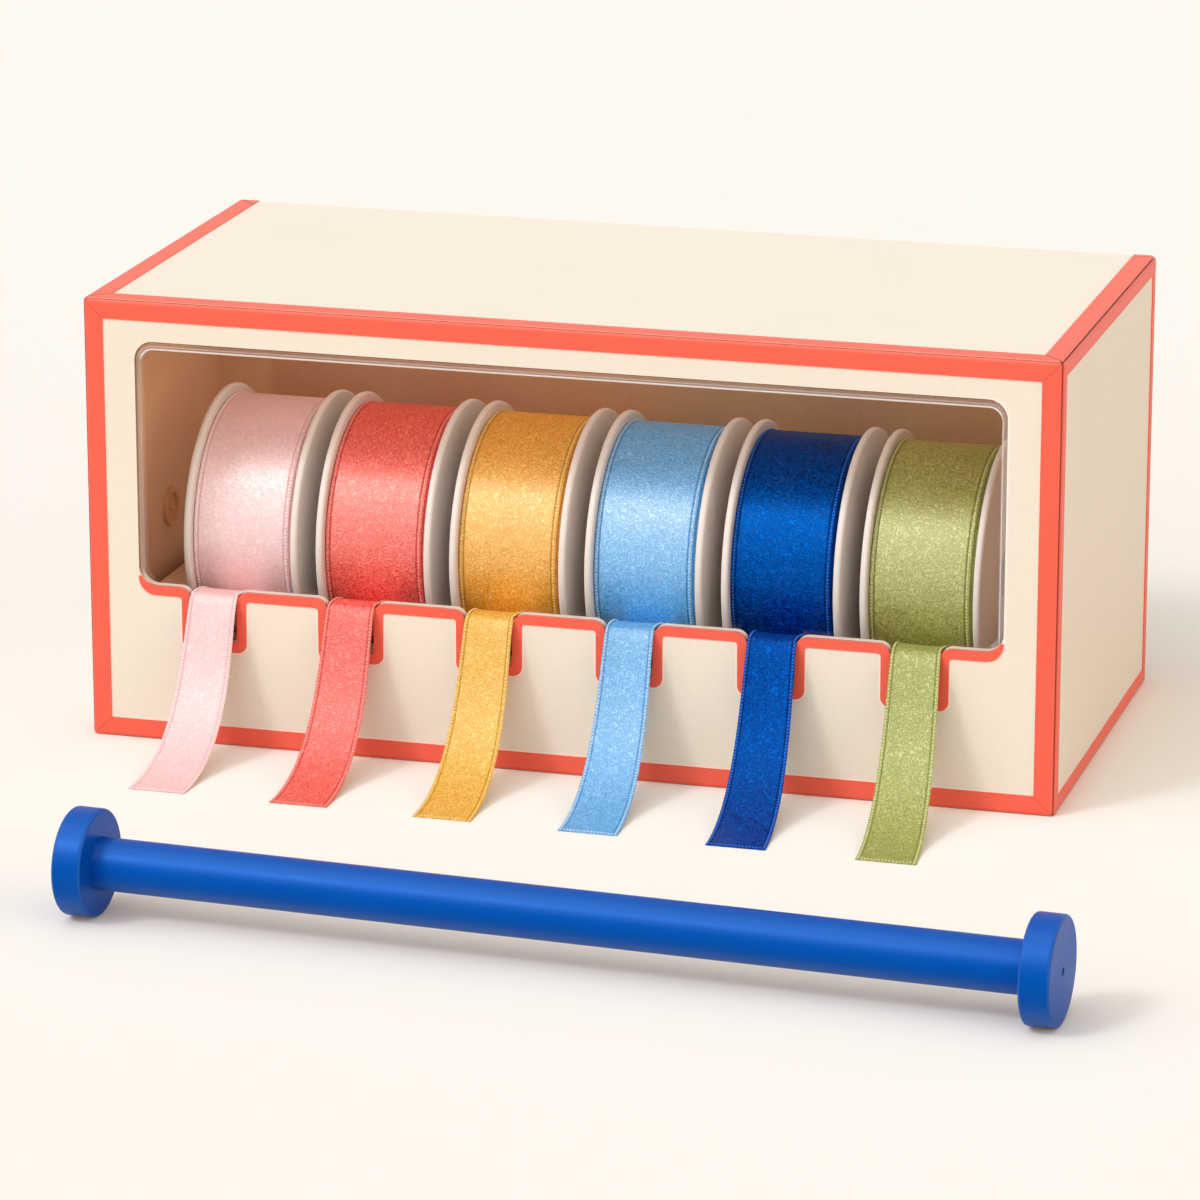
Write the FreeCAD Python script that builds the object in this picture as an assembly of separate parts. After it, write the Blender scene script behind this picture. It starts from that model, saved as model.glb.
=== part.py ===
"""Ribbon spool dispenser: a mitred board box with a hinged lid, a clear window over a notched
sill, a cradle that carries a row of ribbon spools, their free ribbon ends, and the loose
spindle that goes through the spools.

Millimetres, +Z up, +X to the right, +Y to the back.
Origin: the middle of the box's underside.
"""
import math
import os

import FreeCAD
import Part

Vector = FreeCAD.Vector

# ---- Box -------------------------------------------------------------------------------------
box_width = 360.0
box_depth = 172.0
box_height = 165.0
board = 4.0                 # rigid board of the six panels
edge_round = 1.6            # paper-wrapped outer edges
lid_gap = 0.3               # between the lid's mitres and the walls' mitres

# ---- Edge binding ----------------------------------------------------------------------------
binding_width = 7.2         # on the front and back faces
lid_binding_width = 8.0     # on the lid
side_binding_width = 6.0    # on the end panels
binding_thickness = 0.4
sill_binding_width = 3.6
hinge_tape_height = 20.0
hinge_tape_thickness = 0.35
hinge_relief = 3.0          # the back binding stops this far below the lid's crease

# ---- Window and notched sill -----------------------------------------------------------------
window_side_margin = 19.0
window_top_margin = 14.8
window_corner = 7.0
sill_height = 58.8
notch_width = 17.5
notch_depth = 19.5
notch_row_margin = 4.1      # from the window's sides to the first and last notch's bay
tab_corner = 4.6            # rounded shoulders of the tabs between notches
notch_corner = 1.5          # inside corners at the foot of a notch
binding_tab_corner = 1.2    # the binding's own corners, below the tabs' shoulders
binding_notch_corner = 3.4  # the binding's own corners, round the foot of a notch

# ---- Clear pane ------------------------------------------------------------------------------
pane_thickness = 1.2
pane_overlap = 6.0          # glued behind the front panel at the top and the sides
pane_foot = 8.0             # glued behind each tab, below the sill
pane_slot_rise = 2.8        # top of each ribbon slot, above the sill
pane_slot_side = 3.0        # each ribbon slot is this much wider than its notch at each side
pane_fit = 0.15
bead_width = 2.2            # raised bead round the pane, inside the window
bead_head_width = 3.2       # the same bead along the window's top
bead_foot_width = 1.5       # and where it runs along the sill
bead_setback = 0.6          # of the bead behind the front face
bead_round = 0.6

# ---- Inner tray and cradle -------------------------------------------------------------------
tray_board = 2.0
tray_depth = 130.0          # from the box's front face to the tray's back board
tray_fit = 0.2
tray_head_gap = 1.5         # from the tray's walls up to the lid
rail_board = 3.0
rail_offset = 26.0          # each rail's middle from the spool axis, forwards and backwards
rail_slot_depth = 2.1       # how deep the flanges sit in the rails
cheek_inset = 6.0           # from the tray's end walls to the cradle's end cheeks
cheek_height = 42.0
cheek_overhang = 10.0       # of the cheeks past the rails
joint_fit = 0.1             # board in the slots of the crossing boards

# ---- Spools ----------------------------------------------------------------------------------
spool_count = 6
row_shift = -1.5            # of the row of spools and notches from the box's middle
spool_row_margin = 20.8     # from the tray's end walls to the first and last spool's bay
axis_height = 69.3
axis_setback = 68.0         # of the spool axis behind the box's front face
ribbon_width = 38.0
pack_radius = 45.0
pack_side_gap = 0.3
flange_radius = 48.5
flange_thickness = 2.6
flange_round = 1.1
bore_radius = 11.5
collar_wall = 1.7           # locating collar of a flange, inside the core
collar_length = 4.0
core_wall = 2.8
core_fit = 0.05
running_gap = 0.3           # flange rim to rail, and ribbon to winding
slot_side_gap = 0.5         # flange faces to the sides of their slots

# ---- Free ribbon ends ------------------------------------------------------------------------
tail_width = 21.6
tail_crest_width = 17.8     # where it is drawn together in its notch
tail_thickness = 0.5
tail_leave_angle = 50.0     # where a ribbon leaves its winding, up from the bottom, in degrees
tail_crest_drop = 1.3       # of the crest's middle below the sill
tail_crest_setback = 1.0    # of the crest behind the front face
tail_crest_shift = 0.4      # of the crest to the right of the notch's middle
tail_fold = 8.5             # the smaller, the tighter the bend over the sill
tail_sweep = 52.5           # the larger, the longer a ribbon lies flat before its end
tail_reach = 58.9           # of the first ribbon end in front of the box
tail_reach_step = 1.2       # each next ribbon reaches this much further
tail_table_gap = 0.05
tail_drift = 1.1            # of all the ribbon ends to the right, from notch to table
tail_fan = 1.5              # further spread of the ribbon ends, for each step along the row
tail_samples = 14           # points on each of the two curves of a ribbon end
colours = ["pink", "coral", "yellow", "light_blue", "royal_blue", "olive"]

# ---- Spindle ---------------------------------------------------------------------------------
rod_radius = 9.0
knob_radius = 18.4
knob_thickness = 10.4
knob_round = 1.2
spigot_radius = 5.0
spigot_length = 7.0
spigot_clearance = 0.05
dimple_radius = 1.6
dimple_depth = 2.0
seat_radius = 7.0           # round pivot seats on the tray's end walls
seat_thickness = 1.6
seat_rim = 1.4
seat_floor = 0.6
nub_radius = 1.2
nub_reach = 1.0             # of the nub past the seat's rim
spindle_end_play = 1.0      # from each knob to its seat's rim
spindle_middle = 54.4       # where the loose spindle lies: its middle, to the right
spindle_stand_off = 198.2   # and in front of the box
spindle_turn = -3.0         # degrees about +Z

# ---- Worked out ------------------------------------------------------------------------------
half_width = box_width / 2
half_depth = box_depth / 2
front_face = -half_depth
window_half = half_width - window_side_margin
window_top = box_height - window_top_margin
notch_foot = sill_height - notch_depth
axis_y = front_face + axis_setback
tray_floor_top = board + tray_board
tray_half = half_width - board - tray_fit          # outer faces of the tray's end walls
tray_inner_half = tray_half - tray_board
spool_pitch = 2 * (tray_inner_half - spool_row_margin) / spool_count
notch_pitch = 2 * (window_half - notch_row_margin) / spool_count
tray_back_y = front_face + tray_depth
tray_top = box_height - board - tray_head_gap
core_inner = bore_radius + collar_wall + core_fit
core_outer = core_inner + core_wall
winding_space = ribbon_width + 2 * pack_side_gap
spool_width = winding_space + 2 * flange_thickness
spindle_length = 2 * (tray_inner_half - seat_thickness - spindle_end_play)
outside = 1.0                                      # how far cutting shapes stand out


def row_offset(index, pitch):
    """Distance of item number index from the middle of its row."""
    return (index - (spool_count - 1) / 2) * pitch


def row_place(index, pitch):
    """Place of item number index along the box."""
    return row_shift + row_offset(index, pitch)


def block(x_low, x_high, y_low, y_high, z_low, z_high):
    corner = Vector(x_low, y_low, z_low)
    return Part.makeBox(x_high - x_low, y_high - y_low, z_high - z_low, corner)


def rod_x(radius, x_low, x_high, y, z):
    """Cylinder along X."""
    return Part.makeCylinder(radius, x_high - x_low, Vector(x_low, y, z), Vector(1, 0, 0))


def rounded_outline(corners, y):
    """Closed wire in the plane at y through corners (x, z, radius), each corner rounded."""
    count = len(corners)
    edges = []
    last_end = None
    first_start = None
    for index in range(count):
        x, z, radius = corners[index]
        here = Vector(x, y, z)
        before = Vector(corners[index - 1][0], y, corners[index - 1][1])
        after = Vector(corners[(index + 1) % count][0], y, corners[(index + 1) % count][1])
        to_before = (before - here).normalize()
        to_after = (after - here).normalize()
        start = here
        end = here
        if radius > 0:
            half_angle = to_before.getAngle(to_after) / 2
            reach = radius / math.tan(half_angle)
            start = here + to_before * reach
            end = here + to_after * reach
        if last_end is None:
            first_start = start
        else:
            edges.append(Part.makeLine(last_end, start))
        if radius > 0:
            middle_line = (to_before + to_after).normalize()
            crown = here + middle_line * (radius / math.sin(half_angle) - radius)
            edges.append(Part.Arc(start, crown, end).toShape())
        last_end = end
    edges.append(Part.makeLine(last_end, first_start))
    return Part.Wire(edges)


def plate(corners, y_low, y_high):
    """Upright plate with a rounded outline, between two depths."""
    return Part.Face(rounded_outline(corners, y_low)).extrude(Vector(0, y_high - y_low, 0))


# ---- The box shell and its mitres ------------------------------------------------------------

def rounded_box(growth):
    """The box's outer form, grown on every side, with its edges rounded."""
    form = block(-half_width - growth, half_width + growth, -half_depth - growth,
                 half_depth + growth, -growth, box_height + growth)
    return form.makeFillet(edge_round + growth, form.Edges)


def mitre_wedge(axis, side):
    """Frustum behind one face of the box: its slanted sides are the mitre planes."""
    halves = [half_width, half_depth, box_height / 2]
    loops = []
    for growth in (outside, -board):
        corners = []
        for first, second in ((-1, -1), (1, -1), (1, 1), (-1, 1)):
            point = [0.0, 0.0, 0.0]
            point[axis] = side * (halves[axis] + growth)
            point[(axis + 1) % 3] = first * (halves[(axis + 1) % 3] + growth)
            point[(axis + 2) % 3] = second * (halves[(axis + 2) % 3] + growth)
            corners.append(Vector(point[0], point[1], point[2] + box_height / 2))
        loops.append(Part.makePolygon(corners + corners[:1]))
    return Part.makeLoft(loops, True, True)


outer_form = rounded_box(0.0)
inner_space = block(-half_width + board, half_width - board, -half_depth + board,
                    half_depth - board, board, box_height - board)
shell = outer_form.cut(inner_space)
binding_skin = rounded_box(binding_thickness).cut(outer_form)
front_wedge = mitre_wedge(1, -1)
back_wedge = mitre_wedge(1, 1)
left_wedge = mitre_wedge(0, -1)
right_wedge = mitre_wedge(0, 1)
base_wedge = mitre_wedge(2, -1)
lid_wedge = mitre_wedge(2, 1)
lid_wedge.translate(Vector(0, 0, lid_gap * math.sqrt(2)))


def window_outline():
    """Corners of the window and the notches below it, as one opening."""
    corners = [(-window_half, window_top, window_corner), (-window_half, sill_height, window_corner)]
    for index in range(spool_count):
        middle = row_place(index, notch_pitch)
        left = middle - notch_width / 2
        right = middle + notch_width / 2
        corners.append((left, sill_height, tab_corner))
        corners.append((left, notch_foot, notch_corner))
        corners.append((right, notch_foot, notch_corner))
        corners.append((right, sill_height, tab_corner))
    corners.append((window_half, sill_height, window_corner))
    corners.append((window_half, window_top, window_corner))
    return corners


def front_panel():
    opening = plate(window_outline(), front_face - outside, front_face + board + outside)
    return shell.common(front_wedge).cut(opening)


def sill_binding():
    """Binding that follows the sill, every tab and every notch, and tapers off at its ends."""
    low = sill_height - sill_binding_width
    end_height = low + window_corner
    end_round = window_corner - sill_binding_width / 8
    corners = [(-window_half, end_height, 0), (-window_half, low, end_round)]
    for index in range(spool_count):
        middle = row_place(index, notch_pitch)
        left = middle - notch_width / 2 - sill_binding_width
        right = middle + notch_width / 2 + sill_binding_width
        foot = notch_foot - sill_binding_width
        corners.append((left, low, binding_tab_corner))
        corners.append((left, foot, binding_notch_corner))
        corners.append((right, foot, binding_notch_corner))
        corners.append((right, low, binding_tab_corner))
    corners.append((window_half, low, end_round))
    corners.append((window_half, end_height, 0))
    band = plate(corners, front_face - binding_thickness, front_face)
    opening = plate(window_outline(), front_face - outside, front_face + outside)
    return band.cut(opening)


def framed(skin, keep_out):
    """Binding left on a face when the part of the skin inside keep_out is taken away."""
    return skin.cut(keep_out)


inset_x = half_width - binding_width
inset_low = binding_width
inset_high = box_height - binding_width
far = box_width + box_depth + box_height


def front_binding(side):
    """One mitred strip of the frame on the front face: top, bottom, left or right."""
    reach = binding_width + outside
    low = [(-inset_x, inset_low), (-inset_x - reach, inset_low - reach),
           (inset_x + reach, inset_low - reach), (inset_x, inset_low)]
    high = [(-inset_x, inset_high), (-inset_x - reach, inset_high + reach),
            (inset_x + reach, inset_high + reach), (inset_x, inset_high)]
    quads = {"bottom": low,
             "top": high,
             "left": [low[0], low[1], high[1], high[0]],
             "right": [low[3], low[2], high[2], high[3]]}
    corners = [(x, z, 0) for x, z in quads[side]]
    zone = plate(corners, front_face - outside, front_face + edge_round + outside)
    return binding_skin.common(front_wedge).common(zone)


def side_binding(wedge):
    """Frame folded over all four edges of an end panel."""
    depth = half_depth - side_binding_width
    middle = block(-far, far, -depth, depth, side_binding_width, box_height - side_binding_width)
    return framed(binding_skin.common(wedge), middle)


def back_binding():
    """Strips on the back face along its sides and its foot: the hinge edge has none."""
    middle = block(-inset_x, inset_x, 0, far, inset_low, far)
    crease = block(-far, far, 0, far, box_height - hinge_relief, far)
    return framed(binding_skin.common(back_wedge), middle.fuse(crease))


def lid_binding():
    """Strips on the lid along its front and both ends: the hinge edge has none."""
    half = half_width - lid_binding_width
    middle = block(-half, half, -half_depth + lid_binding_width, far, 0, far)
    return framed(binding_skin.common(lid_wedge), middle)


def hinge_tape():
    """Strip of the wrapping paper that carries the lid, down the back panel's outer face."""
    top = box_height - edge_round
    return block(-inset_x, inset_x, half_depth, half_depth + hinge_tape_thickness,
                 top - hinge_tape_height, top)


# ---- Window pane -----------------------------------------------------------------------------

def window_rectangle(inset, head_inset, foot_inset, y_low, y_high):
    """Plate that fills the window above the sill, inset at its sides, top and foot."""
    radius = window_corner - inset
    half = window_half - inset
    high = window_top - head_inset
    low = sill_height + foot_inset
    corners = [(-half, high, radius), (-half, low, radius), (half, low, radius), (half, high, radius)]
    return plate(corners, y_low, y_high)


def window_pane():
    """Clear sheet behind the front panel with a bead in the window and a slot at each notch."""
    y_low = front_face + board
    half = window_half + pane_overlap
    sheet = block(-half, half, y_low, y_low + pane_thickness, sill_height - pane_foot,
                  window_top + pane_overlap)
    bead_front = front_face + bead_setback
    outer = window_rectangle(pane_fit, pane_fit, pane_fit, bead_front, y_low)
    hollow = window_rectangle(pane_fit + bead_width, pane_fit + bead_head_width,
                              pane_fit + bead_foot_width, bead_front - outside, y_low)
    bead = outer.cut(hollow)
    rims = [edge for edge in bead.Edges if edge.BoundBox.YMax < bead_front + bead_round / 2]
    pane = sheet.fuse(bead.makeFillet(bead_round, rims))
    slot_half = notch_width / 2 + pane_slot_side
    slot_top = sill_height + pane_slot_rise
    slot_foot = sill_height - pane_foot - outside
    for index in range(spool_count):
        middle = row_place(index, notch_pitch)
        slot = plate([(middle - slot_half, slot_foot, 0), (middle + slot_half, slot_foot, 0),
                      (middle + slot_half, slot_top, pane_slot_side),
                      (middle - slot_half, slot_top, pane_slot_side)],
                     front_face - outside, y_low + pane_thickness + outside)
        pane = pane.cut(slot)
    return pane.removeSplitter()


# ---- Inner tray ------------------------------------------------------------------------------

tray_front_y = front_face + board + tray_fit
tray_rear_y = tray_back_y + tray_board


def tray_floor():
    return block(-tray_half, tray_half, tray_front_y, tray_rear_y, board, tray_floor_top)


def tray_back():
    return block(-tray_inner_half, tray_inner_half, tray_back_y, tray_rear_y, tray_floor_top, tray_top)


def tray_end(side):
    """End wall of the tray: side is -1 on the left and 1 on the right."""
    near = side * tray_inner_half
    away = side * tray_half
    return block(min(near, away), max(near, away), tray_front_y, tray_rear_y, tray_floor_top, tray_top)


# ---- Cradle ----------------------------------------------------------------------------------

seat_drop = math.sqrt((flange_radius + running_gap) ** 2 - rail_offset ** 2)
rail_top = axis_height - seat_drop + rail_slot_depth
halving = (tray_floor_top + rail_top) / 2           # where crossing boards meet
cheek_x = tray_inner_half - cheek_inset - rail_board / 2


def cradle_rail(side):
    """Long rail under the row, with a slot for every flange: side is -1 in front, 1 behind."""
    y = axis_y + side * rail_offset
    y_low = y - rail_board / 2
    y_high = y + rail_board / 2
    rail = block(-tray_inner_half, tray_inner_half, y_low, y_high, tray_floor_top, rail_top)
    for index in range(spool_count):
        for flange_side in (-1, 1):
            middle = (row_place(index, spool_pitch)
                      + flange_side * (spool_width - flange_thickness) / 2)
            half = flange_thickness / 2 + slot_side_gap
            seat = rod_x(flange_radius + running_gap, middle - half, middle + half, axis_y, axis_height)
            rail = rail.cut(seat)
    for end in (-1, 1):
        half = rail_board / 2 + joint_fit
        rail = rail.cut(block(end * cheek_x - half, end * cheek_x + half, y_low - outside,
                              y_high + outside, halving, rail_top + outside))
    return rail


def cradle_cheek(side):
    """End cheek that crosses both rails: side is -1 on the left, 1 on the right."""
    x = side * cheek_x
    reach = rail_offset + rail_board / 2 + cheek_overhang
    cheek = block(x - rail_board / 2, x + rail_board / 2, axis_y - reach, axis_y + reach,
                  tray_floor_top, tray_floor_top + cheek_height)
    for rail_side in (-1, 1):
        y = axis_y + rail_side * rail_offset
        half = rail_board / 2 + joint_fit
        cheek = cheek.cut(block(x - rail_board, x + rail_board, y - half, y + half,
                                tray_floor_top - outside, halving))
    return cheek


def pivot_seat(side):
    """Round seat on an end wall, with a rim and a nub for the knob's dimple."""
    wall = tray_inner_half
    points = [(0, 0), (seat_radius, 0), (seat_radius, seat_thickness),
              (seat_radius - seat_rim, seat_thickness), (seat_radius - seat_rim, seat_floor),
              (nub_radius, seat_floor), (nub_radius, seat_thickness + nub_reach - nub_radius),
              (0, seat_thickness + nub_reach)]
    outline = [Vector(wall - height, axis_y, axis_height + radius) for radius, height in points]
    face = Part.Face(Part.makePolygon(outline + outline[:1]))
    seat = face.revolve(Vector(0, axis_y, axis_height), Vector(1, 0, 0), 360)
    if side < 0:
        seat = seat.mirror(Vector(0, 0, 0), Vector(1, 0, 0))
    return seat


# ---- Spools ----------------------------------------------------------------------------------

def flange(index, side):
    """Disc with a rounded rim, a bore and a collar that locates the core."""
    middle = row_place(index, spool_pitch)
    inner = side * winding_space / 2
    outer = inner + side * flange_thickness
    disc = rod_x(flange_radius, min(inner, outer), max(inner, outer), 0, 0)
    rims = [edge for edge in disc.Edges
            if edge.Curve.TypeId == "Part::GeomCircle" and len(edge.Vertexes) == 1]
    disc = disc.makeFillet(flange_round, rims)
    collar_end = inner - side * collar_length
    collar = rod_x(bore_radius + collar_wall, min(inner, collar_end), max(inner, collar_end), 0, 0)
    reach = spool_width
    piece = disc.fuse(collar).cut(rod_x(bore_radius, -reach, reach, 0, 0))
    piece.translate(Vector(middle, axis_y, axis_height))
    return piece


def tube(index, outer, inner, width):
    """Ring about the spool axis, centred on one spool."""
    x = row_place(index, spool_pitch)
    solid = rod_x(outer, x - width / 2, x + width / 2, axis_y, axis_height)
    return solid.cut(rod_x(inner, x - width, x + width, axis_y, axis_height))


def core(index):
    return tube(index, core_outer, core_inner, winding_space)


def winding(index):
    return tube(index, pack_radius, core_outer + core_fit, ribbon_width)


# ---- Free ribbon ends ------------------------------------------------------------------------

def tail_curves(reach):
    """Two curves, seen from the side: winding to crest, and crest to table."""
    angle = math.radians(tail_leave_angle)
    radius = pack_radius + running_gap + tail_thickness / 2
    leave = Vector(0, axis_y - radius * math.sin(angle), axis_height - radius * math.cos(angle))
    heading = Vector(0, -math.cos(angle), math.sin(angle))
    crest = Vector(0, front_face + tail_crest_setback, sill_height - tail_crest_drop)
    end = Vector(0, front_face - reach, tail_thickness / 2 + tail_table_gap)
    rise = (crest - leave).Length * 0.38
    first = Part.BezierCurve()
    first.setPoles([leave, leave + heading * rise, crest + Vector(0, rise, 0), crest])
    second = Part.BezierCurve()
    second.setPoles([crest, crest - Vector(0, tail_fold, 0), end + Vector(0, tail_sweep, 0), end])
    return first, second


def tail_edge(index, side, level):
    """Long edge of a ribbon end: side is -1 left or 1 right, level 1 for its upper face or -1."""
    reach = tail_reach + index * tail_reach_step
    crest_y = front_face + tail_crest_setback
    points = []
    for number, curve in enumerate(tail_curves(reach)):
        for step in range(number, tail_samples + 1):
            share = step / tail_samples
            point = curve.value(share)
            along = curve.tangent(share)[0].normalize()
            normal = Vector(0, -along.z, along.y)
            forward = (crest_y - point.y) / (tail_crest_setback + tail_reach)
            opened = share if number == 1 else 1 - share
            width = tail_crest_width + (tail_width - tail_crest_width) * opened
            place = point + normal * (level * tail_thickness / 2)
            place.x = (row_place(index, notch_pitch) + tail_crest_shift + side * width / 2
                       + (tail_drift + row_offset(index, tail_fan)) * forward)
            points.append(place)
    edge = Part.BSplineCurve()
    edge.interpolate(points)
    return edge.toShape()


def ribbon_tail(index):
    """Free end of one ribbon: off the winding, through the notch and down on to the table."""
    edges = [tail_edge(index, side, level) for side, level in ((-1, 1), (1, 1), (1, -1), (-1, -1))]
    faces = []
    for number in range(4):
        faces.append(Part.makeRuledSurface(edges[number], edges[(number + 1) % 4]))
    for end in (0, -1):
        corners = [edge.Vertexes[end].Point for edge in edges]
        faces.append(Part.Face(Part.makePolygon(corners + corners[:1])))
    shell = Part.makeShell(faces)
    shell.sewShape()
    strip = Part.Solid(shell)
    if strip.Volume < 0:
        strip.reverse()
    return strip


# ---- Spindle ---------------------------------------------------------------------------------

def lay_down(shape):
    """Turn and move a piece made about the X axis to where the loose spindle lies."""
    spot = Vector(spindle_middle, front_face - spindle_stand_off, knob_radius)
    turn = FreeCAD.Rotation(Vector(0, 0, 1), spindle_turn)
    shape.Placement = FreeCAD.Placement(spot, turn)
    return shape


def spindle_rod():
    shoulder = spindle_length / 2 - knob_thickness
    rod = rod_x(rod_radius, -shoulder, shoulder, 0, 0)
    tip = shoulder + spigot_length
    return lay_down(rod.fuse(rod_x(spigot_radius, -tip, tip, 0, 0)).removeSplitter())


def knob(side, clearance):
    """Round end knob with a blind hole for the spigot and a dimple in its outer face."""
    inner = side * (spindle_length / 2 - knob_thickness)
    outer = side * spindle_length / 2
    disc = rod_x(knob_radius, min(inner, outer), max(inner, outer), 0, 0)
    rims = [edge for edge in disc.Edges
            if edge.Curve.TypeId == "Part::GeomCircle" and len(edge.Vertexes) == 1]
    disc = disc.makeFillet(knob_round, rims)
    hole_end = inner + side * (spigot_length + clearance)
    hole = rod_x(spigot_radius + clearance, min(inner, hole_end), max(inner, hole_end), 0, 0)
    dimple = Part.makeCone(dimple_radius, dimple_radius / 2, dimple_depth, Vector(outer, 0, 0),
                           Vector(-side, 0, 0))
    return lay_down(disc.cut(hole).cut(dimple))


# ---- All pieces ------------------------------------------------------------------------------

def all_pieces():
    pieces = {
        "front_panel": front_panel(),
        "back_panel": shell.common(back_wedge),
        "left_panel": shell.common(left_wedge),
        "right_panel": shell.common(right_wedge),
        "base_panel": shell.common(base_wedge),
        "lid_panel": shell.common(lid_wedge),
        "lid_binding": lid_binding(),
        "left_binding": side_binding(left_wedge),
        "right_binding": side_binding(right_wedge),
        "back_binding": back_binding(),
        "hinge_tape": hinge_tape(),
        "sill_binding": sill_binding(),
        "window_pane": window_pane(),
        "tray_floor": tray_floor(),
        "tray_back": tray_back(),
        "tray_left_wall": tray_end(-1),
        "tray_right_wall": tray_end(1),
        "cradle_rail_front": cradle_rail(-1),
        "cradle_rail_back": cradle_rail(1),
        "cradle_cheek_left": cradle_cheek(-1),
        "cradle_cheek_right": cradle_cheek(1),
        "pivot_seat_left": pivot_seat(-1),
        "pivot_seat_right": pivot_seat(1),
        "spindle_rod": spindle_rod(),
        "spindle_knob_left": knob(-1, 0.0),
        "spindle_knob_right": knob(1, spigot_clearance),
    }
    for side in ("top", "bottom", "left", "right"):
        pieces["front_binding_" + side] = front_binding(side)
    for index in range(spool_count):
        colour = colours[index % len(colours)]
        if index >= len(colours):
            colour = colour + "_" + str(index)
        pieces[colour + "_flange_left"] = flange(index, -1)
        pieces[colour + "_flange_right"] = flange(index, 1)
        pieces[colour + "_core"] = core(index)
        pieces[colour + "_winding"] = winding(index)
        pieces[colour + "_tail"] = ribbon_tail(index)
    return pieces


os.makedirs("parts", exist_ok=True)
for name, shape in all_pieces().items():
    shape.exportStep("parts/" + name + ".step")
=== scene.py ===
"""Looks of the ribbon spool dispenser: materials for the CAD nodes, the wound ribbons and the free
ribbon ends as satin ribbon with stitched edges, and the camera, floor and light of the photograph.

Lengths are in millimetres, except where a comment says metres. X right, Y back, Z up.
"""
import math

import bpy
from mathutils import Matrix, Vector, noise


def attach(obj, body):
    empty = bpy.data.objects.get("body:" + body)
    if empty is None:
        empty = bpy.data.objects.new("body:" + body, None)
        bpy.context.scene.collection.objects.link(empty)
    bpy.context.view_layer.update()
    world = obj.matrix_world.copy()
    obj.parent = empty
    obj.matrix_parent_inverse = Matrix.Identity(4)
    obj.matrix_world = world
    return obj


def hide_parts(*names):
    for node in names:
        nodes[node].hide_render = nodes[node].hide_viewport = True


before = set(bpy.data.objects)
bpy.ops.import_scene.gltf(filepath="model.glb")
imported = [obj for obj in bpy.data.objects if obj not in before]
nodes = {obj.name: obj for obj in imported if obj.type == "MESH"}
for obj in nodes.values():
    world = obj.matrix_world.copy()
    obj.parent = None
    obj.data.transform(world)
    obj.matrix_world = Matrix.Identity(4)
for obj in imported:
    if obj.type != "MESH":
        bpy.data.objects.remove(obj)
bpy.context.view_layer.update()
MM = 0.001                      # in metres

# ---- Sizes repeated from the part ---------------------------------------------------------------

HALF_WIDTH = 180.0
FRONT = -86.0
BACK = 86.0
HEIGHT = 165.0
BOARD = 4.0                     # thickness of the panels
BINDING_WIDTH = 7.2             # of the frame on the front
SILL_BINDING_WIDTH = 3.6
SILL = 58.8
WINDOW_HALF = 161.0
WINDOW_TOP = 150.2
WINDOW_CORNER = 7.0
BEAD_WIDTH = 2.2                # of the pane's raised bead, at the window's sides
BEAD_HEAD_WIDTH = 3.2           # and along its top
PANE_FIT = 0.15
NOTCH_WIDTH = 17.5
NOTCH_FOOT = 39.3
NOTCH_PITCH = 52.3
SPOOL_PITCH = 51.0
ROW_SHIFT = -1.5                # of the spools and notches from the box's middle
AXIS_Y = -18.0
AXIS_Z = 69.3
PACK_RADIUS = 45.0
RIBBON_WIDTH = 38.0
TAIL_THICKNESS = 0.5
TAIL_CREST_WIDTH = 17.8         # where a free end is drawn together in its notch
TAIL_WIDTH = 21.6               # at its cut end
TAIL_GAP = 0.3                  # from a winding to its free end
TAIL_LEAVE_ANGLE = 50.0         # where it leaves the winding, up from the bottom, in degrees
TAIL_CREST_DROP = 1.3           # of the crest's middle below the sill
TAIL_CREST_SETBACK = 1.0        # of the crest behind the front face
TAIL_CREST_SHIFT = 0.4          # of the crest to the right of the notch's middle
TAIL_FOLD = 8.5                 # the smaller, the tighter the bend over the sill
TAIL_SWEEP = 52.5               # the larger, the longer a free end lies flat before its cut end
TAIL_REACH = 58.9               # of the first free end in front of the box
TAIL_REACH_STEP = 1.2           # each next one reaches this much further
TAIL_TABLE_GAP = 0.05
TAIL_DRIFT = 1.1                # of all the free ends to the right, from notch to table
TAIL_FAN = 1.5                  # further spread of the free ends, for each step along the row

# ---- Colours ------------------------------------------------------------------------------------

def linear(red, green, blue):
    """Colour written as 0 to 255 in sRGB, as Blender's linear colour."""
    out = []
    for value in (red, green, blue):
        share = value / 255
        out.append(share / 12.92 if share <= 0.04045 else ((share + 0.055) / 1.055) ** 2.4)
    return (*out, 1.0)


CREAM = linear(244, 234, 219)
# Painted highlight on the cream's rounded edges.
CREAM_EDGE_HIGHLIGHT = linear(250, 242, 228)
# Painted highlight line beside the coral binding.
CREAM_HIGHLIGHT_BESIDE_BINDING = linear(255, 250, 234)
# Painted highlight on the right rim of the window's opening.
CREAM_RIM_HIGHLIGHT = linear(255, 253, 246)
# Painted shade on the board's cut edge up the window's sides; at the sill it stays pale.
PULP_SHADED = linear(196, 166, 136)
PULP_AT_SILL = linear(236, 214, 204)
# Painted shadow line on the cut edge behind the sill's binding.
SHADOW_LINE_BROWN = linear(160, 84, 66)
TAN = linear(221, 178, 141)
CORAL = linear(249, 104, 84)
# Painted highlight on the coral's rounded edges.
CORAL_EDGE_HIGHLIGHT = linear(255, 150, 132)
# Painted highlight along the coral's top front edge.
CORAL_TOP_EDGE_HIGHLIGHT = linear(255, 186, 166)
CORAL_SEAM = linear(140, 10, 0)
CARD = linear(196, 172, 142)
CARD_SEAM = linear(120, 98, 74)
FLANGE_WHITE = linear(238, 230, 224)
# Painted highlight on the plastic's rounded edges.
PLASTIC_EDGE_HIGHLIGHT = linear(120, 165, 225)
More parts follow.
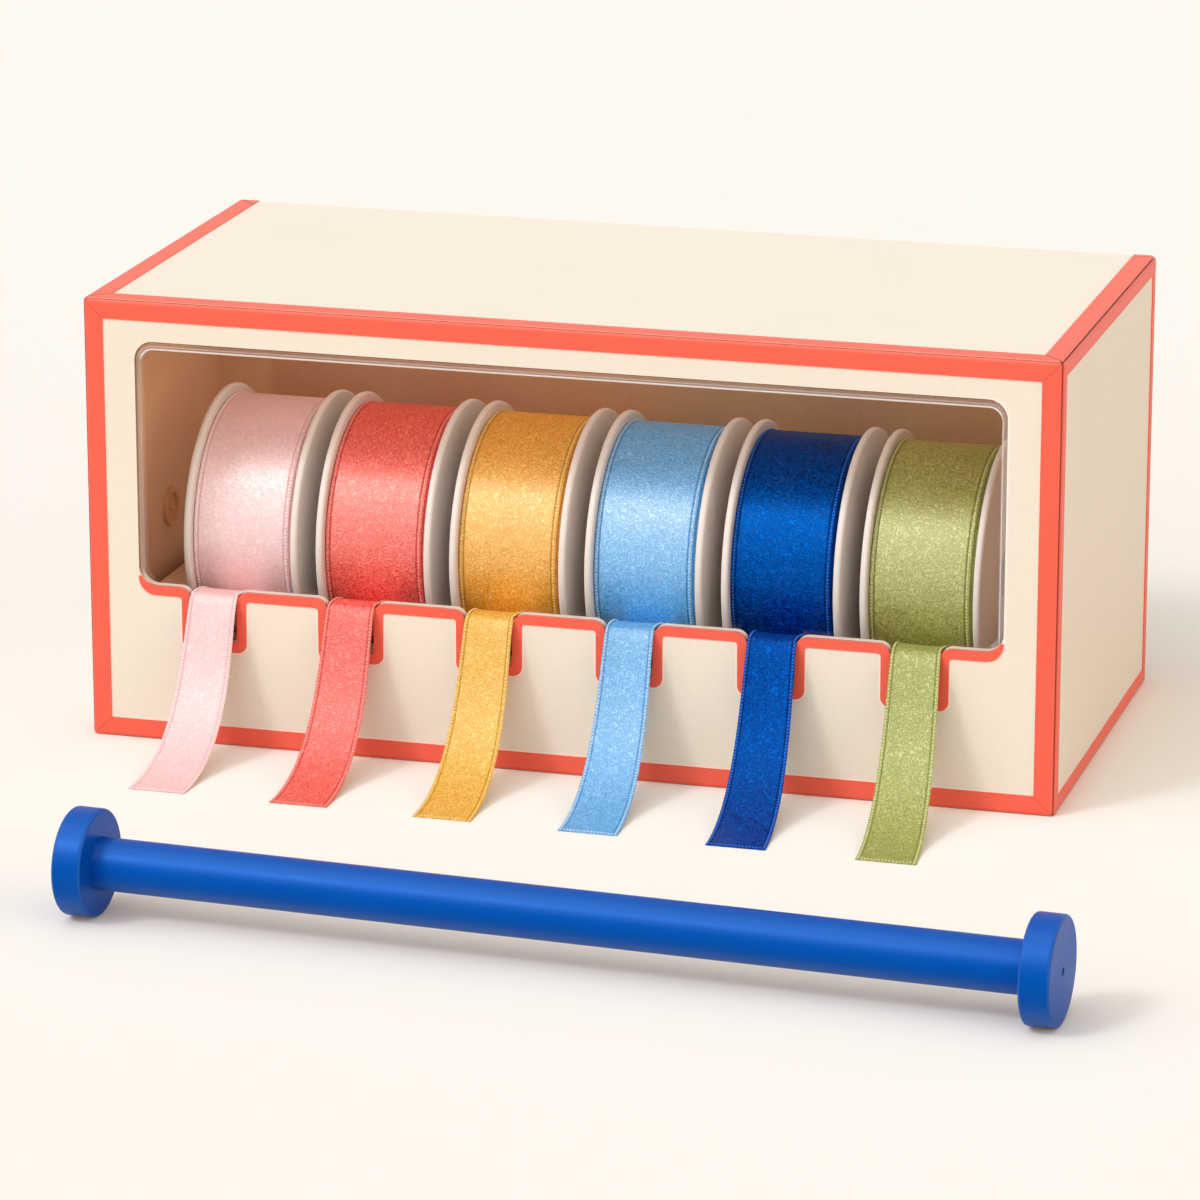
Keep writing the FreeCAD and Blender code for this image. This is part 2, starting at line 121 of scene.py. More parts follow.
# The pane's clear film, also the colour of its painted highlight lines.
PANE_FILM_AND_HIGHLIGHT = linear(250, 244, 244)
# Painted shade in the gap between the pane's bead and the window's edge.
PANE_GAP_SHADE = linear(96, 66, 46)
TABLE = linear(238, 240, 240)
TABLE_BOUNCE = linear(210, 198, 184)
TABLE_GLOW = linear(255, 196, 85)
BACKGROUND = linear(255, 250, 242)
SKY = linear(255, 253, 248)

# From left to right in the row: face, reverse, highlight and thread of each ribbon, and how deep
# the painted light and shade of its crinkle go. The free ends show the reverse.
RIBBONS = {
    "pink": ((255, 212, 214), (248, 196, 198), (255, 250, 250), (255, 236, 238), 0.09),
    "coral": ((250, 68, 60), (238, 70, 64), (255, 226, 214), (252, 170, 160), 0.2),
    "yellow": ((246, 168, 8), (228, 166, 30), (255, 244, 206), (250, 222, 134), 0.2),
    "light_blue": ((48, 178, 252), (66, 164, 230), (255, 250, 240), (200, 230, 255), 0.18),
    "royal_blue": ((0, 20, 106), (0, 28, 114), (14, 140, 255), (46, 116, 224), 0.27),
    "olive": ((158, 158, 62), (144, 148, 60), (250, 254, 214), (224, 226, 164), 0.21),
}
COLOURS = list(RIBBONS)

# ---- Node graphs --------------------------------------------------------------------------------

class Graph:
    """Nodes of a material or of the world. A value is a number, a colour or a node's socket."""

    def __init__(self, owner):
        owner.use_nodes = True
        self.tree = owner.node_tree

    def add(self, kind):
        return self.tree.nodes.new("ShaderNode" + kind)

    def put(self, socket, value):
        if isinstance(value, bpy.types.NodeSocket):
            self.tree.links.new(value, socket)
        else:
            socket.default_value = value

    def split(self, value):
        node = self.add("SeparateXYZ")
        self.put(node.inputs[0], value)
        return node.outputs[0], node.outputs[1], node.outputs[2]

    def math(self, operation, first, second=None):
        node = self.add("Math")
        node.operation = operation
        self.put(node.inputs[0], first)
        if second is not None:
            self.put(node.inputs[1], second)
        return node.outputs[0]

    def fold(self, operation, values):
        out = values[0]
        for value in values[1:]:
            out = self.math(operation, out, value)
        return out

    def plus(self, *values):
        return self.fold("ADD", values)

    def times(self, *values):
        return self.fold("MULTIPLY", values)

    def most(self, *values):
        return self.fold("MAXIMUM", values)

    def least(self, *values):
        return self.fold("MINIMUM", values)

    def minus(self, first, second):
        return self.math("SUBTRACT", first, second)

    def absolute(self, value):
        return self.math("ABSOLUTE", value)

    def apart(self, first, second):
        return self.absolute(self.minus(first, second))

    def hypotenuse(self, first, second):
        return self.math("SQRT", self.plus(self.times(first, first), self.times(second, second)))

    def ramp(self, value, low, high, start, end, kind="LINEAR"):
        """From start at low to end at high, and level outside them."""
        node = self.add("MapRange")
        node.interpolation_type = kind
        self.put(node.inputs["Value"], value)
        node.inputs["From Min"].default_value = low
        node.inputs["From Max"].default_value = high
        node.inputs["To Min"].default_value = start
        node.inputs["To Max"].default_value = end
        return node.outputs["Result"]

    def step(self, value, low, high, start=0.0, end=1.0):
        """Smooth step from start at low to end at high. Low may be the larger of the two."""
        return self.ramp(value, low, high, start, end, "SMOOTHSTEP")

    def band(self, value, low, low_full, high_full, high):
        """1 between the two middle numbers, and 0 outside the outer ones."""
        return self.times(self.step(value, low, low_full), self.step(value, high, high_full))

    def mix(self, share, first, second):
        node = self.add("Mix")
        node.data_type = "RGBA"
        self.put(node.inputs[0], share)
        self.put(node.inputs[6], first)
        self.put(node.inputs[7], second)
        return node.outputs[2]

    def mix_numbers(self, share, first, second):
        node = self.add("Mix")
        self.put(node.inputs[0], share)
        self.put(node.inputs[2], first)
        self.put(node.inputs[3], second)
        return node.outputs[0]

    def seen_by(self, *rays):
        """1 for the kinds of ray named, else 0."""
        path = self.add("LightPath")
        return self.most(*[path.outputs["Is " + ray + " Ray"] for ray in rays])


class Shade(Graph):
    """One material. Places are in millimetres in the piece's own, unmoved, space."""

    def __init__(self, name):
        self.material = bpy.data.materials.new(name)
        super().__init__(self.material)
        self.bsdf = self.tree.nodes["Principled BSDF"]
        coords = self.add("TexCoord")
        scaled = self.add("VectorMath")
        scaled.operation = "SCALE"
        self.put(scaled.inputs[0], coords.outputs["Object"])
        self.put(scaled.inputs["Scale"], 1 / MM)
        self.place = scaled.outputs["Vector"]
        self.normal = coords.outputs["Normal"]
        self.x, self.y, self.z = self.split(self.place)
        self.height = None

    def noise(self, per_mm, detail=2.0, roughness=0.5, distortion=0.0, stretch=None):
        """Noise from 0 to 1 with about per_mm features in a millimetre."""
        place = self.place
        if stretch is not None:
            stretched = self.add("VectorMath")
            stretched.operation = "MULTIPLY"
            self.put(stretched.inputs[0], place)
            self.put(stretched.inputs[1], stretch)
            place = stretched.outputs["Vector"]
        node = self.add("TexNoise")
        self.put(node.inputs["Vector"], place)
        node.inputs["Scale"].default_value = per_mm
        node.inputs["Detail"].default_value = detail
        node.inputs["Roughness"].default_value = roughness
        node.inputs["Distortion"].default_value = distortion
        return node.outputs["Fac"]

    def spread(self, grain, start, end):
        """A noise as a roughness from start to end."""
        return self.step(grain, 0.2, 0.8, start, end)

    def tone(self, colour, value, depth):
        """Colour made lighter and darker by depth as value runs from 0 to 1."""
        node = self.add("HueSaturation")
        self.put(node.inputs["Color"], colour)
        self.put(node.inputs["Value"], self.step(value, 0.25, 0.75, 1 - depth, 1 + depth))
        return node.outputs["Color"]

    def raise_by(self, value, height):
        """Bump that lifts the surface by height where value is 1."""
        lifted = self.times(value, height)
        self.height = lifted if self.height is None else self.plus(self.height, lifted)

    def finish(self, colour, roughness, **plain):
        self.put(self.bsdf.inputs["Base Color"], colour)
        self.put(self.bsdf.inputs["Roughness"], roughness)
        for name, value in plain.items():
            self.bsdf.inputs[name.replace("_", " ")].default_value = value
        if self.height is not None:
            bump = self.add("Bump")
            bump.inputs["Strength"].default_value = 1.0
            bump.inputs["Distance"].default_value = MM
            self.put(bump.inputs["Height"], self.height)
            self.put(self.bsdf.inputs["Normal"], bump.outputs["Normal"])
        return self.material


# ---- Paper and board ----------------------------------------------------------------------------

INNER_FACE = FRONT + BOARD      # of the front panel
TURN_IN = 14.0                  # width of the cream paper turned in round the tan lining
LINING_TONE = 0.05
SEAM_REACH = 9.0                # the binding's seams end this far from the box's edges
SEAM_DEPTH = 0.9


def box_distances(shade):
    """Distances from the box's nearest end, from its front or back, and from its top or foot."""
    middle = HEIGHT / 2
    return (shade.minus(HALF_WIDTH, shade.absolute(shade.x)),
            shade.minus(BACK, shade.absolute(shade.y)),
            shade.minus(middle, shade.apart(shade.z, middle)))


def highlight_edges(shade, colour, edge_highlight, share):
    """Colour that goes towards a painted highlight colour on rounded edges, and stays on faces
    along the axes.
    """
    flatness = shade.most(*[shade.absolute(value) for value in shade.split(shade.normal)])
    return shade.mix(shade.times(shade.step(flatness, 0.995, 0.8), share), colour, edge_highlight)


def paper_grain(shade, colour, depth=0.016, bump=0.012):
    """Paper over board: cloudy tone, fine fibres and a slightly uneven surface."""
    cloud = shade.noise(0.018)
    fibre = shade.noise(1.4, detail=3.0, roughness=0.7, stretch=(1.0, 1.0, 0.35))
    cross = shade.noise(2.2, stretch=(0.3, 1.0, 1.0))
    grained = shade.tone(shade.tone(colour, cloud, depth / 2), fibre, depth)
    shade.raise_by(fibre, bump)
    shade.raise_by(cross, bump)
    return grained, fibre


def finish_cream(shade, colour, fibre):
    return shade.finish(colour, shade.spread(fibre, 0.42, 0.55), Specular_IOR_Level=0.3)


def cream_paper(name):
    shade = Shade(name)
    cream, fibre = paper_grain(shade, CREAM)
    # Rounded edges get a painted highlight.
    return finish_cream(shade, highlight_edges(shade, cream, CREAM_EDGE_HIGHLIGHT, 0.4), fibre)


def board_panel(name):
    """Cream paper outside, and inside a tan lining with the cream turned in round it."""
    shade = Shade(name)
    cream, fibre = paper_grain(shade, CREAM)
    # Rounded edges get a painted highlight.
    edge_highlight = highlight_edges(shade, cream, CREAM_EDGE_HIGHLIGHT, 0.4)
    dx, dy, dz = box_distances(shade)
    nearest = shade.least(dx, dy, dz)
    second_nearest = shade.minus(shade.plus(dx, dy, dz),
                                 shade.plus(nearest, shade.most(dx, dy, dz)))
    lining = shade.times(shade.step(nearest, BOARD - 0.6, BOARD - 0.2),
                         shade.step(second_nearest, TURN_IN - 0.2, TURN_IN + 0.2))
    return finish_cream(shade, shade.mix(lining, edge_highlight, shade.tone(TAN, fibre, LINING_TONE)), fibre)


def binding_highlight_band(shade):
    """1 in a narrow band on the front, beside the frame's binding and the notched sill's: where
    a pale highlight line is painted.
    """
    middle = HEIGHT / 2
    from_end = shade.minus(HALF_WIDTH, shade.absolute(shade.x))
    from_frame = shade.least(from_end, shade.minus(middle, shade.apart(shade.z, middle)))
    beside_frame = shade.step(from_frame, BINDING_WIDTH + 0.6, BINDING_WIDTH + 0.3)
    from_tab_middle = shade.math("PINGPONG", shade.minus(shade.x, ROW_SHIFT), NOTCH_PITCH / 2)
    from_notch_middle = shade.minus(NOTCH_PITCH / 2, from_tab_middle)
    beside_notch = shade.most(shade.minus(from_notch_middle, NOTCH_WIDTH / 2), 0.0)
    below_notch = shade.most(shade.minus(NOTCH_FOOT, shade.z), 0.0)
    from_sill = shade.least(shade.hypotenuse(beside_notch, below_notch),
                            shade.minus(SILL, shade.z))
    beside_sill = shade.band(from_sill, SILL_BINDING_WIDTH - 0.4, SILL_BINDING_WIDTH - 0.1,
                             SILL_BINDING_WIDTH + 0.5, SILL_BINDING_WIDTH + 0.8)
    beside_sill = shade.times(beside_sill, shade.step(from_end, 23.0, 24.0))
    on_front = shade.step(shade.y, FRONT + 0.3, FRONT + 0.1)
    return shade.times(shade.most(beside_frame, beside_sill), on_front)


def depth_inside(shade, half, top, radius):
    """Distance inside the sides and the top of a window with rounded corners."""
    over_x = shade.most(shade.minus(shade.absolute(shade.x), half - radius), 0.0)
    over_z = shade.most(shade.minus(shade.z, top - radius), 0.0)
    return shade.minus(radius, shade.hypotenuse(over_x, over_z))


def window_panel(name):
    """The front panel: as the others, with the pale cut edge of the board round its opening."""
    shade = Shade(name)
    cream, fibre = paper_grain(shade, CREAM)
    # Painted highlight line beside the binding.
    colour = shade.mix(shade.times(binding_highlight_band(shade), 0.9), cream, CREAM_HIGHLIGHT_BESIDE_BINDING)
    # Painted highlight on the right rim of the opening.
    rim_highlight = shade.band(depth_inside(shade, WINDOW_HALF, WINDOW_TOP, WINDOW_CORNER),
                     -0.6, -0.4, -0.05, 0.1)
    rim_highlight = shade.times(rim_highlight, shade.step(shade.x, WINDOW_HALF - 10.0, WINDOW_HALF - 4.0),
                      shade.step(shade.z, SILL, SILL + 6.0))
    colour = shade.mix(rim_highlight, colour, CREAM_RIM_HIGHLIGHT)

    # The cut edge is painted darker up the window's sides, for shade; at the sill it stays pale.
    pulp = shade.mix(shade.step(shade.z, SILL + 1.0, SILL + 5.0), PULP_AT_SILL, PULP_SHADED)
    # Painted shadow line on the cut edge just behind the sill's binding.
    shadow_behind_binding = shade.times(shade.step(shade.y, FRONT + 1.2, FRONT + 0.9),
                                 shade.step(shade.z, SILL + 1.5, SILL + 0.5, 0.0, 0.7))
    pulp = shade.mix(shadow_behind_binding, pulp, SHADOW_LINE_BROWN)
    plies = shade.noise(1.0, detail=1.0, stretch=(0.05, 2.6, 0.05))
    pulp = shade.tone(pulp, plies, 0.025)
    across_board = shade.step(shade.absolute(shade.split(shade.normal)[1]), 0.75, 0.5)
    in_window = shade.step(shade.absolute(shade.x), WINDOW_HALF + 2.0, WINDOW_HALF + 1.0)
    colour = shade.mix(shade.times(across_board, in_window), colour, pulp)

    inside = shade.step(shade.y, INNER_FACE - 0.3, INNER_FACE - 0.1)
    colour = shade.mix(inside, colour, shade.tone(TAN, fibre, LINING_TONE))
    return finish_cream(shade, colour, fibre)


def coral_paper(name):
    """Binding paper: fine grain, painted highlights on its rounded edges and along its top front
    edge, dark where pieces meet.
    """
    shade = Shade(name)
    coral, fibre = paper_grain(shade, CORAL, depth=0.02, bump=0.01)
    # Rounded edges get a painted highlight.
    colour = highlight_edges(shade, coral, CORAL_EDGE_HIGHLIGHT, 0.22)
    dx, dy, dz = box_distances(shade)
    # Painted highlight along the rounded top front edge.
    edge_sheen = shade.times(shade.step(shade.apart(shade.minus(dy, dz), 0.75), 0.5, 0.15),
                         shade.step(shade.most(dy, dz), 2.4, 2.0),
                         shade.step(shade.z, 140.0, 150.0), 0.5)
    colour = shade.mix(edge_sheen, colour, CORAL_TOP_EDGE_HIGHLIGHT)

    on_front = shade.step(shade.y, FRONT + 0.2, FRONT - 0.1)
    front_depth = shade.minus(SEAM_DEPTH, shade.times(on_front, 0.7))
    seams = []
    for first, second, depth in ((dx, dy, SEAM_DEPTH), (dy, dz, 0.15), (dx, dz, front_depth)):
        line = shade.step(shade.apart(first, second), 0.62, 0.26)
        at_edge = shade.step(shade.most(first, second), SEAM_REACH + 0.2, SEAM_REACH)
        seams.append(shade.times(line, at_edge, depth))
    colour = shade.mix(shade.most(*seams), colour, CORAL_SEAM)
    return shade.finish(colour, shade.spread(fibre, 0.36, 0.48), Specular_IOR_Level=0.25)


def tan_board(name):
    shade = Shade(name)
    fleck = shade.noise(0.9, detail=4.0, roughness=0.75, stretch=(1.0, 1.0, 0.4))
    colour = shade.tone(shade.tone(TAN, shade.noise(0.02), 0.03), fleck, 0.04)
    shade.raise_by(fleck, 0.02)
    return shade.finish(colour, shade.spread(fleck, 0.6, 0.75), Specular_IOR_Level=0.15)


def core_board(name):
    """Spiral-wound card of the spools' cores."""
    shade = Shade(name)
    turn = shade.plus(shade.times(shade.x, 0.7), shade.times(shade.z, 0.25))
    seam = shade.step(shade.math("PINGPONG", turn, 6.0), 0.25, 0.05)
    fleck = shade.noise(1.1, detail=4.0, roughness=0.7)
    colour = shade.mix(shade.times(seam, 0.5), shade.tone(CARD, fleck, 0.06), CARD_SEAM)
    shade.raise_by(fleck, 0.03)
    return shade.finish(colour, shade.spread(fleck, 0.6, 0.8), Specular_IOR_Level=0.25)


# ---- Plastic ------------------------------------------------------------------------------------

def spool_plastic(name):
    """Off-white moulded flange, with faint turning marks round the axis."""
    shade = Shade(name)
    radius = shade.hypotenuse(shade.minus(shade.y, AXIS_Y), shade.minus(shade.z, AXIS_Z))
    rings = shade.math("SINE", shade.times(radius, 5.2))
    cloud = shade.noise(0.06, detail=3.0)
    grain = shade.noise(2.0)
    colour = shade.tone(shade.tone(FLANGE_WHITE, cloud, 0.02), grain, 0.012)
    shade.raise_by(rings, 0.0035)
    shade.raise_by(grain, 0.006)
    return shade.finish(colour, shade.spread(cloud, 0.34, 0.46), Specular_IOR_Level=0.45,
                        Subsurface_Weight=0.08, Subsurface_Scale=2.0 * MM)


def moulded_plastic(name, rgb, roughness, shine, level, lustre=0.0):
    shade = Shade(name)
    cloud = shade.noise(0.05)
    grain = shade.noise(3.2, roughness=0.6)
    colour = shade.tone(shade.tone(linear(*rgb), cloud, 0.03), grain, 0.03)
    # Rounded edges get a painted highlight.
    edge_sheen = highlight_edges(shade, colour, PLASTIC_EDGE_HIGHLIGHT, 0.10)
    shade.raise_by(grain, 0.012)
    return shade.finish(edge_sheen, shade.spread(cloud, roughness - 0.04, roughness + 0.04),
                        Specular_IOR_Level=level, Specular_Tint=linear(*shine), Metallic=lustre)


def clear_pane(name):
    """Clear sheet, faintly scuffed, with a moulded bead, drawn as a thin see-through film, with
    painted highlight lines along the bead and painted shade in the gap at the window's edge.
    """
    shade = Shade(name)
    side_inset = BEAD_WIDTH + PANE_FIT
    outer = depth_inside(shade, WINDOW_HALF, WINDOW_TOP, WINDOW_CORNER)
    inner = depth_inside(shade, WINDOW_HALF - side_inset,
                         WINDOW_TOP - BEAD_HEAD_WIDTH - PANE_FIT, WINDOW_CORNER - side_inset)
    on_head = shade.step(shade.z, WINDOW_TOP - 9.0, WINDOW_TOP - 4.0)
    at_right = shade.step(shade.x, WINDOW_HALF - 6.0, WINDOW_HALF - 4.0)
    at_foot = shade.step(shade.z, SILL + 2.4, SILL + 1.8)
    in_front = shade.step(shade.y, FRONT + 1.5, FRONT + 1.2)
    on_bead = shade.step(shade.y, INNER_FACE - 0.1, INNER_FACE - 0.3)

    edge = shade.times(shade.step(outer, 0.5, 0.3), in_front)
    # Painted shade in the gap at the window's edge, except at the right.
    gap_shade = shade.times(edge, shade.step(at_right, 1.0, 0.0))
    # How much the bead covers: its faint film, the painted gap shade, and painted highlight lines
    # along it, strongest along its top and at the right side.
    lines = [
        shade.minus(0.10, shade.times(at_foot, 0.08)),
        shade.times(shade.band(inner, -0.95, -0.7, -0.1, 0.1), shade.most(0.25, on_head), 0.85),
        shade.times(shade.band(inner, -1.9, -1.7, -1.4, -1.2), on_head, 0.35),
        shade.times(gap_shade, 0.6),
        shade.times(edge, at_right, 0.9),
        shade.times(at_right, 0.2),
        shade.times(shade.band(inner, -0.9, -0.75, -0.45, -0.3), at_right, 0.6),
    ]
    scuff = shade.noise(0.25, detail=3.0)
    film = shade.step(scuff, 0.6, 0.8, 0.0, 0.01)
    cover = shade.plus(film, shade.times(on_bead, shade.most(*lines)))
    shade.put(shade.bsdf.inputs["Alpha"], cover)
    # Film colour, with the painted gap shade.
    return shade.finish(shade.mix(gap_shade, PANE_FILM_AND_HIGHLIGHT, PANE_GAP_SHADE),
                        shade.step(scuff, 0.3, 0.8, 0.1, 0.18), Specular_IOR_Level=0.5)


# ---- Satin --------------------------------------------------------------------------------------

def satin(name, rgb, highlight, depth, shine, roughness):
    """Satin ribbon: crinkled into fine winding ridges, with fine cross threads. The ridges are a
    bump, and their light and shade and the glints on their crests are painted into the colour too.
    """
    shade = Shade(name)
    swirl = shade.noise(0.57, detail=1.0, roughness=0.4, distortion=1.0)
    ridge = shade.step(shade.math("PINGPONG", shade.times(swirl, 5.0), 0.5), 0.12, 0.42)
    cloud = shade.noise(0.05, distortion=0.6)
    thread = shade.noise(3.4, detail=1.0, stretch=(1.0, 0.25, 0.25))
    colour = linear(*rgb)
    # The ridges' light and shade are painted into the colour as well as bumped.
    for value, tone_depth in ((cloud, 0.03), (ridge, depth), (thread, 0.03)):
        colour = shade.tone(colour, value, tone_depth)
    # Painted glints: the ridges' crests go towards the highlight colour.
    colour = shade.mix(shade.step(ridge, 0.7, 1.0, 0.0, 1.1 * depth), colour, linear(*highlight))
    shade.raise_by(ridge, 0.05)
    shade.raise_by(thread, 0.008)
    return shade.finish(colour, shade.spread(cloud, roughness - 0.03, roughness + 0.03), IOR=2.0,
                        Specular_IOR_Level=shine, Specular_Tint=linear(*highlight))


def stitch_thread(name, rgb):
    shade = Shade(name)
    twist = shade.noise(4.0)
    shade.raise_by(twist, 0.03)
    return shade.finish(shade.tone(linear(*rgb), twist, 0.08), shade.spread(twist, 0.4, 0.6),
                        Specular_IOR_Level=0.5)


# What each piece of ribbon is made of: its face, its stitches and its sewn grooves, whose
# satin is darker, as painted shade.
wound_finishes = {}
end_finishes = {}
for ribbon, (face_rgb, reverse_rgb, shine_rgb, thread_rgb, crinkle) in RIBBONS.items():
    face_satin = satin(ribbon + "_satin", face_rgb, shine_rgb, crinkle, 1.0, 0.39)
    reverse_satin = satin(ribbon + "_satin_reverse", reverse_rgb, shine_rgb, 0.85 * crinkle,
                          0.55, 0.45)
    stitches = stitch_thread(ribbon + "_stitch", thread_rgb)
    # The sewn grooves get a darker copy of the reverse: painted shade.
    shaded_rgb = [(1 - 0.8 * crinkle) * value for value in reverse_rgb]
    groove_satin = satin(ribbon + "_groove", shaded_rgb, shine_rgb, 0.4 * crinkle, 0.3, 0.6)
    wound_finishes[ribbon] = [face_satin, stitches, groove_satin]
    end_finishes[ribbon] = [reverse_satin, stitches, groove_satin]

# ---- Finishes of the CAD nodes that stay --------------------------------------------------------

tan = tan_board("tan_board")
# The first word that is in a node's name gives its finish. Windings and tails have none.
FINISH_BY_WORD = {
    "front_panel": window_panel("cream_board_cut"),
    "_panel": board_panel("cream_board"),
    "binding": coral_paper("coral_paper"),
    "hinge_tape": cream_paper("cream_paper"),
    "tray": tan,
    "cradle": tan,
    "pivot_seat": moulded_plastic("seat_plastic", (214, 160, 114), 0.6, (150, 124, 100), 0.5),
    "spindle": moulded_plastic("spindle_plastic", (0, 80, 176), 0.38, (84, 138, 218), 0.3,
                               lustre=0.12),
    "flange": spool_plastic("spool_plastic"),
    "_core": core_board("core_board"),
    "window_pane": clear_pane("clear_pane"),
}
for node_name, node_object in nodes.items():
    finish = next((FINISH_BY_WORD[word] for word in FINISH_BY_WORD if word in node_name), None)
    if finish is not None:
        for material_slot in node_object.material_slots:
            material_slot.material = finish

# ---- Ribbon pieces ------------------------------------------------------------------------------

SATIN_FACE, STITCH_FACE, GROOVE_FACE = range(3)     # places in the lists of finishes
STITCH_PITCH = 1.25
STITCH_INSET = 0.8              # from the ribbon's edge
EDGE_ROUND = 0.25
GROOVE_START = 1.35             # from the ribbon's edge
GROOVE_END = 1.95
GROOVE_DEPTH = 0.12
SELVEDGE_RISE = 0.06            # of the woven edge over the ribbon's middle
EDGE_PLACES = [0.0, 0.08, EDGE_ROUND, 0.5, 0.8, 1.1, GROOVE_START, 1.55, 1.75, GROOVE_END, 2.4]
MIDDLE_STEPS = 6                # from the last of these to the ribbon's middle
WOUND_FACE_WIDTH = 36.4         # of the last turns, which sit against the left flange
WOUND_BORE = 16.2               # radius
WOUND_SLACK = 0.09
WOUND_STITCH_SINK = 0.03        # of the stitches' feet below the winding's radius
TAIL_STITCH_SINK = 0.05         # and below a free end's faces
TAIL_SELVEDGE = 0.8             # a free end's woven edges, as a share of a winding's
TAIL_HANDLE = 0.38              # the handles of a free end's first curve, as a share of its span
END_STITCH_INSET = 0.9          # of the row of stitches along the cut end
TABLE_CLEARANCE = 0.02
CIRCLE_STEPS = 240
CURVE_STEPS = 300
FLAT_END = 14.0                 # length at the cut end over which cup and waves die out
CUP = 0.5
WAVE = 0.2
TO_THE_RIGHT = Vector((1, 0, 0))


def row_place(index):
    """Place of a spool or notch in its row, counted from the row's middle."""
    return index - (len(COLOURS) - 1) / 2


def new_object(name, points, faces, materials, kinds):
    """Mesh whose kinds give each face's material. Points are in millimetres."""
    mesh = bpy.data.meshes.new(name)
    mesh.from_pydata([Vector(point) * MM for point in points], [], faces)
    for material in materials:
        mesh.materials.append(material)
    mesh.polygons.foreach_set("material_index", kinds)
    mesh.polygons.foreach_set("use_smooth", [True] * len(faces))
    mesh.update()
    piece = bpy.data.objects.new(name, mesh)
    bpy.context.scene.collection.objects.link(piece)
    return piece


def add_stitch(points, faces, centre, along, across, up, length=0.95, width=0.85, height=0.34):
    """Short raised thread, as a long lozenge that lies on the ribbon."""
    start = len(points)
    for share, side, rise in ((-0.5, 0, 0), (-0.22, 0.5, 0), (-0.22, 0, 1), (-0.22, -0.5, 0),
                              (0.22, 0.5, 0), (0.22, 0, 1), (0.22, -0.5, 0), (0.5, 0, 0)):
        points.append(centre + along * (share * length) + across * (side * width)
                      + up * (rise * height))
    for face in ((0, 1, 2), (0, 2, 3), (1, 4, 5, 2), (2, 5, 6, 3), (4, 7, 5), (5, 7, 6),
                 (0, 3, 1), (1, 3, 6, 4), (4, 6, 7)):
        faces.append(tuple(start + corner for corner in face))


def width_samples(width):
    """Places across a ribbon: close together at its woven edges, wide apart between them."""
    half = width / 2
    inner = EDGE_PLACES[-1]
    middle = [half - inner - step * (half - inner) / MIDDLE_STEPS
              for step in range(1, MIDDLE_STEPS)]
    left = [-half + value for value in EDGE_PLACES] + [-value for value in middle]
    return left + [0.0] + [-value for value in reversed(left)]


def groove_columns(width):
    """Columns of faces that lie in the sewn grooves, counted across width_samples."""
    places = width_samples(width)
    middles = [(before + after) / 2 for before, after in zip(places, places[1:])]
    return {number for number, middle in enumerate(middles)
            if GROOVE_START < width / 2 - abs(middle) < GROOVE_END}


def selvedge_height(from_edge):
    """Height of a ribbon's face over its middle, by the distance from its edge."""
    if from_edge < EDGE_ROUND:
        return -0.22 * (1 - from_edge / EDGE_ROUND) ** 2 + 0.03
    if from_edge < GROOVE_START:
        return SELVEDGE_RISE
    if from_edge < GROOVE_END:
        across_groove = (from_edge - GROOVE_START) / (GROOVE_END - GROOVE_START)
        return -GROOVE_DEPTH * math.sin(math.pi * across_groove)
    return 0.0


def winding(index):
    """The wound ribbon: a barrel of satin with stitched edges. Its last turns sit against the left
    flange, so at the right the turns below them show in a narrow gap."""
    colour = COLOURS[index]
    middle = ROW_SHIFT + row_place(index) * SPOOL_PITCH
    right = RIBBON_WIDTH / 2
    shift = (WOUND_FACE_WIDTH - RIBBON_WIDTH) / 2
    face_right = right + 2 * shift
    profile = [(place + shift,
                PACK_RADIUS - SELVEDGE_RISE + selvedge_height(WOUND_FACE_WIDTH / 2 - abs(place)))
               for place in width_samples(WOUND_FACE_WIDTH)]
    face = len(profile)
    # the last turns' side, the top of the turns below them, their side and the bore
    profile += [(face_right + 0.05, PACK_RADIUS - 1.1), (face_right + 0.25, PACK_RADIUS - 2.6),
                (right - 0.4, PACK_RADIUS - 3.0), (right, PACK_RADIUS - 3.1),
                (right, WOUND_BORE), (-right, WOUND_BORE)]
    points = []
    faces = []
    for turn in range(CIRCLE_STEPS):
        angle = 2 * math.pi * turn / CIRCLE_STEPS
        out = Vector((0, math.cos(angle), math.sin(angle)))
        for number, (place, radius) in enumerate(profile):
            if number < face:
                seed = Vector((place * 0.045 + index * 9.0, math.cos(angle) * 2.2,
                               math.sin(angle) * 2.2))
                radius += WOUND_SLACK * noise.noise(seed)
            points.append(Vector((middle + place, AXIS_Y, AXIS_Z)) + out * radius)
    ring = len(profile)
    for turn in range(CIRCLE_STEPS):
        here = turn * ring
        after = (turn + 1) % CIRCLE_STEPS * ring
        for step in range(ring):
            following = (step + 1) % ring
            faces.append((here + step, here + following, after + following, after + step))
    sewn_down = groove_columns(WOUND_FACE_WIDTH)
    kinds = [GROOVE_FACE if number % ring in sewn_down else SATIN_FACE
             for number in range(len(faces))]
    count = int(2 * math.pi * PACK_RADIUS / STITCH_PITCH)
    sewn = PACK_RADIUS - WOUND_STITCH_SINK
    for side in (-1, 1):
        place = shift + side * (WOUND_FACE_WIDTH / 2 - STITCH_INSET)
        for number in range(count):
            angle = 2 * math.pi * (number + 0.5 * (side > 0)) / count
            out = Vector((0, math.cos(angle), math.sin(angle)))
            along = Vector((0, -math.sin(angle), math.cos(angle)))
            centre = Vector((middle + place, AXIS_Y, AXIS_Z)) + out * sewn
            add_stitch(points, faces, centre, along, TO_THE_RIGHT, out)
    kinds += [STITCH_FACE] * (len(faces) - len(kinds))
    piece = new_object(colour + "_wound_ribbon", points, faces, wound_finishes[colour], kinds)
    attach(piece, colour + "_spool")
    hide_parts(colour + "_winding")


